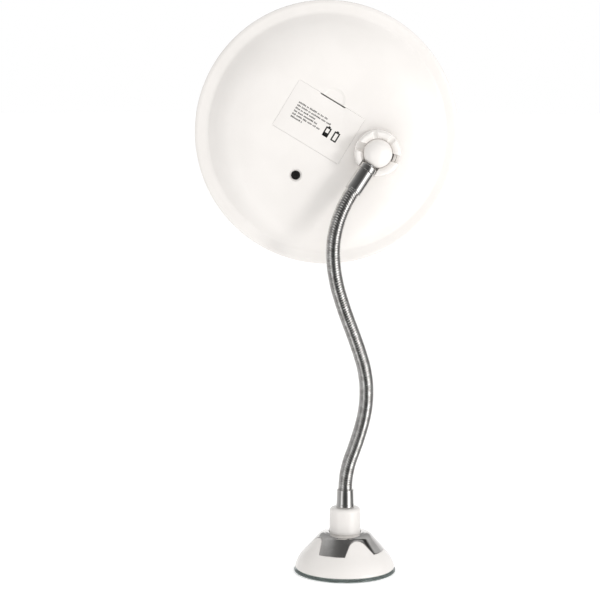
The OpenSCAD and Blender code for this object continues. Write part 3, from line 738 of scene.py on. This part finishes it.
makeHose()
print("gooseneck")


# ferrules, ball and swivel nut

ferrules = {"footR": 6.35, "mouthR": 5.85, "tailR": 5.85, "bore": 4.6, "edge": 0.35, "ring": 0.12,
            "studR": 3.1, "mouthDeep": 1.5, "boreFrom": 5, "hoseGap": 0.02}


def makeFerrules():
    lo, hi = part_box("lower_ferrule")
    lo, hi = lo.z / mm, hi.z / mm
    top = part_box("neck_collar")[1].z / mm
    f = ferrules
    obj = lathe("lowerFerrule", [
        (f["bore"], lo), (f["tailR"], lo), (f["tailR"], top + 0.05), (f["footR"], top + 0.05, 0.25),
        (f["footR"], top + 2.0, 1.2), (f["footR"] - 0.18, top + 2.6, 0.6), (f["mouthR"], hi - 1.2, 1),
        (f["mouthR"] + f["ring"], hi - 0.8, 0.3), (f["mouthR"] + f["ring"], hi, f["edge"]),
        (hose["r"] + f["hoseGap"], hi, 0.2), (f["bore"], hi - f["mouthDeep"])], turns=150, sharp=50)
    fit(obj, "base", "chrome", chrome, "lower_ferrule")

    lo, hi = boxIn("upper_ferrule", onFerrule)
    r, lo, hi = hi.x / mm, lo.z / mm, hi.z / mm
    obj = lathe("upperFerrule", [
        (f["studR"], lo), (r, lo, 0.45), (r, hi - 1.5, 0.3), (r - 0.25, hi - 1.3, 0.2),
        (r - 0.25, hi - 1.0, 0.2), (r, hi - 0.8, 0.2), (r - 0.05, hi, f["edge"]),
        (hose["r"] + f["hoseGap"], hi, 0.15), (f["bore"], hi - f["mouthDeep"]),
        (f["bore"], lo + f["boreFrom"]), (f["studR"], lo + f["boreFrom"])],
        onFerrule, 150, sharp=50)
    fit(obj, "arm_tip", "chrome", chrome, "upper_ferrule")

    lo, hi = boxIn("stem_nut", onFerrule)
    r, lo, hi = hi.x / mm, lo.z / mm, hi.z / mm
    obj = lathe("stemNut", [(f["studR"], lo), (r, lo, 0.55), (r, hi, f["edge"]), (f["studR"], hi)],
                onFerrule, 150, sharp=50)
    fit(obj, "arm_tip", "chrome", chrome, "stem_nut")


ballHole = {"r": 3.05, "deep": 3}  # for the stud


def makeBall():
    lo, hi = boxIn("ball", onFerrule)
    r, flat = hi.x / mm, hi.z / mm
    edge = math.acos(flat / r)
    arc = [(r * math.sin(t), -r * math.cos(t)) for t in np.linspace(0, math.pi - edge - 0.03, 60)]
    obj = lathe("ball", arc + [
        (r * math.sin(edge) * 0.97, flat, 0.3), (ballHole["r"], flat, 0.2),
        (ballHole["r"], ballHole["deep"]), (0, ballHole["deep"])], onFerrule, 160)
    fit(obj, "ball", "white_plastic", whitePlastic, "ball")


nut = {"seatR": 10.1, "boreR": 13.6, "seatTop": -7.6, "mouthR": 12.0, "mouthZ": 1.0, "slotW": 12.4,
       "gaps": ((158, 6.2, -3.0), (101, 4.4, 0.9), (45, 4.0, 0.4), (-16, 5.6, -9.5)),  # angle, width, floor
       "skin": 0.25, "smoothing": 14}


def makeNut():
    lo, hi = boxIn("swivel_nut", onNut)
    r, foot, lip = (hi.x - lo.x) / 2 / mm, lo.z / mm, hi.z / mm
    seat = nut["seatR"]
    low, high = math.asin(nut["seatTop"] / seat), math.asin(nut["mouthZ"] / seat)
    bowl = [(seat * math.cos(t), seat * math.sin(t)) for t in np.linspace(high, low, 26)]
    obj = lathe("swivelNut", [
        (nut["boreR"], foot), (r, foot, 0.6), (r, lip - 4.5, 3), (r - 0.9, lip - 0.8, 2.2),
        ((r + nut["mouthR"]) / 2, lip, 1.6), (nut["mouthR"], lip - 0.6, 1.2), *bowl,
        (nut["boreR"], nut["seatTop"])], onNut, 120)
    stemAt = math.atan2(armDown.z, armDown.x)

    def gap(width, floor, turn):
        # a round-bottomed slot through one side of the rim
        half, deep, clear = width / 2, floor + width / 2, 12
        outline = [(half * math.cos(a), deep + half * math.sin(a))
                   for a in np.linspace(math.pi, tau, 25)]
        outline += [(half, clear), (-half, clear)]
        place = onNut @ Matrix.Rotation(turn, 4, "Z") @ onEdge
        return prism("gap", [(x * mm, z * mm) for x, z in outline], 7.5 * mm, 20 * mm, place)

    cutters = [gap(nut["slotW"], -nut["slotW"] / 2, stemAt)]
    cutters += [gap(width, floor, math.radians(turn)) for turn, width, floor in nut["gaps"]]
    cut(obj, cutters)
    melt(obj, nut["skin"], nut["smoothing"])
    fit(obj, "nut", "white_plastic", whitePlastic, "swivel_nut")


makeFerrules()
makeBall()
makeNut()
print("ferrules, ball and nut")


# mirror head

shell = {"flatR": 44, "drop": 15, "wall": 2.2, "brim": 9, "edgeH": 7, "bossCircle": 58, "bosses": 6,
         "bossR": 3.5, "screwR": 1.05, "thumbR": 8.25, "thumbDeep": 0.8, "seatBoreR": 11.3,
         "seatRimR": 13.3, "seatTop": 5.1, "curl": 2.5, "valley": 5.0, "coverGap": 0.07,
         "hingeRoom": 0.42, "hingeSkin": 0.28}
lid = {"slotW": 19.7, "slotH": 0.85, "slotMid": 27.3, "edge": 0.15, "hingeR": 0.35}
button = {"flange": 0.9, "flangeT": 1, "wellGap": 0.3}
split = -(shell["drop"] + shell["edgeH"])  # where the housing and the front bezel meet


def boxMm(node, place):
    lo, hi = boxIn(node, place)
    return lo / mm, hi / mm


def domeCurve(r1, z0, steps=40):
    return [(shell["flatR"] + (r1 - shell["flatR"]) * t, z0 - shell["drop"] * t ** shell["curl"])
            for t in np.linspace(0, 1, steps)]


def coverBlock(name, x0, y0, x1, y1, radius, z0, z1):
    # a block with round corners, in the cover's own axes and in millimetres
    outline = [(x * mm, y * mm) for x, y in roundRect(x0, y0, x1, y1, radius)]
    return prism(name, outline, z0 * mm, z1 * mm, onCover)


def makeHousing():
    r, drop, wall = headR, shell["drop"], shell["wall"]
    wallR = r - shell["brim"]
    outer, inner = domeCurve(wallR, 0), domeCurve(wallR - wall, -wall)
    obj = lathe("rearHousing", [
        (0, 0), (shell["flatR"] - 0.6, 0), *outer[:-6], (*outer[-1], shell["valley"]),
        (wallR + 3.4, -drop - 0.1), (r - 2.2, -drop - 0.5, 3), (r - 0.1, -drop - 1.6, 1.4),
        (r, split, 0.25), (r - wall, split), (r - wall, -drop - wall - 0.6, 0.6),
        (wallR - wall + 1, -drop - wall - 0.3), *inner[::-1], (0, -wall)], onHead, 288, 8)

    # what is cut away: the battery opening with room for the hinge edge to swing, a thumb hollow
    # over the latch, the button's well and the ball's seat
    lo, hi = boxMm("battery_cover", onCover)
    gap, room, deep, proud = shell["coverGap"], shell["hingeRoom"], 4, 3
    opening = coverBlock("opening", lo.x - gap, lo.y - gap, hi.x + gap, hi.y + gap, 0.9, -deep, deep)
    undercut = coverBlock("undercut", lo.x - gap, lo.y - room, hi.x + gap, lo.y + 2, 0.3,
                          -deep, -shell["hingeSkin"])
    thumbR, thumbZ = shell["thumbR"], -shell["thumbDeep"]
    thumb = lathe("thumb", [
        (0, thumbZ), (thumbR - 1.6, thumbZ, 1.6), (thumbR - 0.2, -0.25, 0.6), (thumbR + 0.1, 0.3),
        (thumbR + 0.1, proud), (0, proud)],
        onCover @ Matrix.Translation(((lo.x + lid["slotMid"]) * mm, hi.y * mm, 0)), 96)
    lo, hi = boxMm("switch_button", onCover)
    mid = (lo + hi) / 2
    wellR = hi.x - mid.x - button["flange"] + button["wellGap"]
    well = lathe("well", [
        (0, -9), (wellR, -9), (wellR, -1), (wellR + 0.05, -0.75, 0.3), (wellR + 0.9, -0.35, 1.2),
        (wellR + 1.8, 0.3), (wellR + 1.8, proud), (0, proud)],
        onCover @ Matrix.Translation((mid.x * mm, mid.y * mm, 0)), 96)
    boreR = shell["seatBoreR"]
    seat = lathe("seat", [(0, -9), (boreR, -9), (boreR, 9), (0, 9)], onSeat, 96)
    cut(obj, [opening, undercut, thumb, well, seat], sharp=35)

    # what is added: the rim of the ball's seat, and the screw bosses inside
    rimR, rimTop = shell["seatRimR"], shell["seatTop"]
    extras = [lathe("seatRim", [(boreR, -1), (rimR, -1), (rimR, rimTop, 0.4), (boreR, rimTop, 0.3)],
                    onSeat, 96)]
    foot, top = split + 1.5, -2.6
    for k in range(shell["bosses"]):
        turn = math.radians(30 + 360 * k / shell["bosses"])
        place = onHead @ Matrix.Translation((shell["bossCircle"] * mm * math.cos(turn),
                                             shell["bossCircle"] * mm * math.sin(turn), 0))
        extras.append(lathe("boss", [(shell["screwR"], foot), (shell["bossR"], foot, 0.3),
                                     (shell["bossR"], top, 0.3), (shell["screwR"], top)], place, 40))
    join(obj, *extras)
    fit(obj, "head", "white_plastic", whitePlastic, "rear_housing")


def makeCover():
    lo, hi = boxMm("battery_cover", onCover)
    r = lid["hingeR"]
    # the section across the lid, with both corners of the hinge edge rounded so that it can turn
    low = [(lo.y + r * (1 - math.sin(t)), lo.z + r * (1 - math.cos(t)))
           for t in np.linspace(0, math.pi / 2, 6)]
    high = [(lo.y + r * (1 - math.sin(t)), hi.z - r * (1 + math.cos(t)))
            for t in np.linspace(math.pi / 2, math.pi, 6)]
    section = low + high + [(hi.y, hi.z), (hi.y, lo.z)]
    obj = prism("batteryCover", [(y * mm, z * mm) for y, z in section], lo.x * mm, hi.x * mm,
                onCover @ onEdge)
    mid, half = lo.x + lid["slotMid"], lid["slotW"] / 2
    notch = coverBlock("notch", mid - half, hi.y - lid["slotH"], mid + half, hi.y + 3, 0.5, -5, 5)
    cut(obj, [notch])
    softEdges(obj, lid["edge"])
    fit(obj, "cover", "white_plastic", whitePlastic, "battery_cover")


# rows of plain blocks stand for small print, and two battery signs for the marks beside it
label = {"left": -28, "top": 9.2, "pitch": 2.2, "proud": 0.03, "sunk": 0.1,
         "lengths": (22.7, 26.7, 16, 18.5, 21.6, 9.3),
         "signAt": ((-0.9, 1.5), (5.9, 1.5)), "signW": 4.2, "signH": 7.0, "stroke": 0.95}


def makePrint():
    def bar(x0, y0, x1, y1, radius):
        return prism("bar", [(x * mm, y * mm) for x, y in roundRect(x0, y0, x1, y1, radius, 2)],
                     -label["sunk"] * mm, label["proud"] * mm, onCover)

    bars = []
    for i, length in enumerate(label["lengths"]):
        x, y = label["left"], label["top"] - i * label["pitch"]
        end, left = x + length, random.randint(3, 8)
        while x < end - 0.5:  # a letter at a time, with a wider space after each word
            wide, tall = random.choice((0.55, 0.7, 0.85)), random.choice((0.5, 0.5, 0.75))
            bars.append(bar(x, y - 0.5, x + wide, y + tall, 0.12))
            left -= 1
            x += wide + (0.22 if left else 0.85)
            left = left or random.randint(2, 8)
    fit(join(*bars), "cover", "white_plastic", printInk)
    bars[0].name = "smallPrint"

    signs = []
    s, w, h = label["stroke"], label["signW"], label["signH"]
    for i, (x, y) in enumerate(label["signAt"]):
        x0, y0, x1, y1 = x - w / 2, y - h / 2, x + w / 2, y + h / 2
        signs += [bar(x0, y0, x0 + s, y1, 0.3), bar(x1 - s, y0, x1, y1, 0.3),
                  bar(x0, y0, x1, y0 + s, 0.3), bar(x0, y1 - s, x1, y1, 0.3),
                  bar(x - 0.8, y1 - 0.1, x + 0.8, y1 + 0.8, 0.2)]
        if i == 0:  # the first sign is filled to its middle
            signs.append(bar(x0 + 0.4, y0 + 0.4, x1 - 0.4, y - 0.6, 0.2))
    fit(join(*signs), "cover", "white_plastic", darkInk)
    signs[0].name = "batterySigns"


def makeButton():
    lo, hi = boxMm("switch_button", onCover)
    mid = (lo + hi) / 2
    r, foot, top = hi.x - mid.x, lo.z, hi.z
    capR, flangeTop = r - button["flange"], foot + button["flangeT"]
    obj = lathe("powerButton", [
        (0, foot), (r, foot, 0.2), (r, flangeTop, 0.2), (capR, flangeTop), (capR, top - 0.25, 0.45),
        (capR - 0.9, top, 0.8), (capR - 1.7, top - 0.12, 1), (0, top - 0.2)],
        onCover @ Matrix.Translation((mid.x * mm, mid.y * mm, 0)), 96, 8)
    fit(obj, "button", "black_plastic", blackPlastic, "switch_button")


front = {"lip": 2.5, "lipT": 1.4, "snap": 2.8, "snapT": 2, "snapGap": 0.4, "ringGap": 0.3,
         "bevel": 2.2, "bevelDeep": 0.9}


def makeFront():
    r, face, seam = headR, -(rimHi.y - backY) / mm, split - 0.05
    inR, lipTop = r - shell["brim"], face + front["lipT"]
    snapR, snapTop = r - shell["wall"] - front["snapGap"], split + front["snap"]
    obj = lathe("frontBezel", [
        (r, seam, 0.25), (r, face, 1.6), (inR, face, 0.9), (inR, lipTop, 0.15),
        (inR + front["lip"], lipTop), (inR + front["lip"], seam), (snapR - front["snapT"], seam),
        (snapR - front["snapT"], snapTop, 0.2), (snapR, snapTop, 0.5), (snapR, seam)], onHead, 288, 8)
    fit(obj, "head", "white_plastic", whitePlastic, "front_bezel")

    lo, hi = boxMm("mirror_glass", onHead)
    glassR, glassBack, glassFace = (hi.x - lo.x) / 2, hi.z, lo.z
    lo, hi = boxMm("light_diffuser", onHead)
    ringOut, ringFace, ringBack, ringIn = (hi.x - lo.x) / 2, lo.z, hi.z, glassR + front["ringGap"]
    obj = lathe("lightRing", [
        (ringIn, ringBack), (ringIn, ringFace + 0.5, 0.3), (ringIn + 1.2, ringFace + 0.1, 0.8),
        ((ringIn + inR) / 2, ringFace, 3), (inR - 0.6, ringFace + 0.25, 0.8),
        (ringOut, ringFace + 0.3, 0.2), (ringOut, ringBack)], onHead, 288)
    fit(obj, "head", "frosted_ring", frosted, "light_diffuser")

    flatR = glassR - front["bevel"]
    obj = lathe("mirrorGlass", [
        (0, glassBack), (glassR, glassBack), (glassR, glassFace + front["bevelDeep"], 0.1),
        (flatR, glassFace, 0.5), (flatR - 1, glassFace), (0, glassFace)], onHead, 288, sharp=8)
    fit(obj, "head", "mirror_glass", silvered, "mirror_glass")
    obj.data.materials.append(glassEdge)
    obj.data.materials.append(mirrorBack)
    for polygon in obj.data.polygons:  # the painted back faces the housing, the rim is ground
        side = polygon.normal.y
        polygon.material_index = 2 if side < -0.9 else 1 if abs(side) < 0.5 else 0


makeHousing()
makeCover()
makePrint()
makeButton()
makeFront()
print("mirror head")


# pieces that keep their own shape get their finish here
finishes = {
    "steel": brushedSteel, "seat_plastic": seatPlastic, "inner_white": innerWhite,
    "foam_tape": foamTape, "circuit_board": circuitBoard, "led_lens": ledLens,
    "cell_jacket": cellJacket, "contact_brass": brass, "wire_jacket": redJacket,
}
for part in frame["record"]["subparts"]:
    node = frame["nodes"][part["node"]]
    if not node.hide_render:
        node.data.materials.clear()
        node.data.materials.append(finishes[part["material_slot"]])
print("inner pieces finished")


# stage, light and camera

stage = {"floorR": 6.0, "floorGlow": 0.42, "panelTop": 3.0, "zenith": 0.14,
         "keyAt": (0.893, -0.829, 0.54), "keySize": 0.30, "keyPower": 4.6,
         "topAt": (0.10, -1.15, 0.78), "topSize": 0.42, "topPower": 0.9, "skyForWhite": 0.70,
         "cameraAt": (-0.0324, -1.5, 0.405), "tilt": 8.02, "roll": 0.21, "lens": 130.3,
         # what the gloss sees: degrees round from the stage's front, growing to the right, and brightness
         "lowPanels": ((-180, 1.3), (-150, 1.0), (-120, 0.62), (-95, 0.46), (-64, 0.36), (-55, 1.15),
                       (-44, 1.15), (-33, 0.42), (-21, 0.12), (0, 0.06), (20, 0.12), (33, 0.45),
                       (43, 2.4), (58, 2.2), (74, 0.7), (92, 0.36), (101, 0.07), (114, 0.07),
                       (122, 0.5), (150, 0.9), (180, 1.3)),
         "highPanels": ((-180, 0.34), (-112, 0.55), (-60, 0.22), (-20, 0.12), (15, 0.10), (60, 0.28),
                        (96, 0.42), (103, 0.03), (113, 0.03), (118, 0.62), (150, 0.5), (180, 0.34))}


def makeFloor():
    points, faces = lathePoints([(0, 0), (stage["floorR"], 0), (stage["floorR"], -0.02), (0, -0.02)], 96)
    obj = meshFrom("floor", points, faces)
    paper = surface("pale paper", twoTone((0.93, 0.93, 0.925), (0.95, 0.95, 0.945), 60, 3),
                    uneven(0.7, 0.1, 20), skin(0.02, 1.5, 3),
                    Emission_Color=(1, 1, 1, 1), Emission_Strength=stage["floorGlow"])
    obj.data.materials.append(paper)
    obj.visible_glossy = False


def makeWorld():
    # white to the camera, even light on matt surfaces, and a studio of panels in the gloss
    world = bpy.data.worlds.new("studio")
    bpy.context.scene.world = world
    n = Nodes(world)
    rays = n.add("LightPath")
    isCamera = Value(n, rays.socket.node.outputs["Is Camera Ray"])
    isGlossy = Value(n, rays.socket.node.outputs["Is Glossy Ray"])
    direction = n.add("TexCoord", outlet="Generated")
    parts = n.add("SeparateXYZ", {}, {0: direction})
    x, y, z = (Value(n, parts.socket.node.outputs[k]) for k in range(3))
    around = x.sum("ARCTAN2", -1 * y) / tau + 0.5  # 0.5 towards the camera, more to its right
    up = z.sum("ARCSINE") * (180 / math.pi)

    def ring(levels):
        stops = [((turn + 180) / 360, shade(*[level / stage["panelTop"]] * 3)) for turn, level in levels]
        ramp = n.add("ValToRGB", {"stops": stops}, {0: around})
        return n.add("SeparateXYZ", {}, {0: ramp}) * stage["panelTop"]

    low, high = ring(stage["lowPanels"]), ring(stage["highPanels"])
    raised = up.between(15.2, 17.5)
    zenith = up.between(58, 75)
    level = low * (1 - raised) + (high * (1 - zenith) + stage["zenith"] * zenith) * raised
    unseen = isGlossy * level + (1 - isGlossy) * stage["skyForWhite"]
    strength = isCamera + (1 - isCamera) * unseen
    back = n.add("Background", {}, {"Color": (1, 1, 1, 1), "Strength": strength})
    n.add("OutputWorld", {}, {"Surface": back})


def makeLights():
    for name in ("key", "top"):
        at, size, power = stage[name + "At"], stage[name + "Size"], stage[name + "Power"]
        data = bpy.data.lights.new(name, "AREA")
        data.shape, data.size, data.energy = "DISK", size, power
        lamp = bpy.data.objects.new(name, data)
        bpy.context.scene.collection.objects.link(lamp)
        lamp.location = at
        lamp.rotation_euler = (onHead.translation - Vector(at)).to_track_quat("-Z", "Y").to_euler()
        lamp.visible_glossy = False


def makeCamera():
    data = bpy.data.cameras.new("camera")
    data.lens, data.sensor_width = stage["lens"], 36
    data.clip_start, data.clip_end = 0.05, 30
    camera = bpy.data.objects.new("camera", data)
    bpy.context.scene.collection.objects.link(camera)
    camera.location = stage["cameraAt"]
    down = Matrix.Rotation(math.radians(90 - stage["tilt"]), 3, "X")
    camera.rotation_euler = (down @ Matrix.Rotation(math.radians(stage["roll"]), 3, "Z")).to_euler()
    bpy.context.scene.camera = camera
    bpy.context.scene.view_settings.view_transform = "Standard"


makeFloor()
makeWorld()
makeLights()
makeCamera()
print("stage, light and camera")

import json
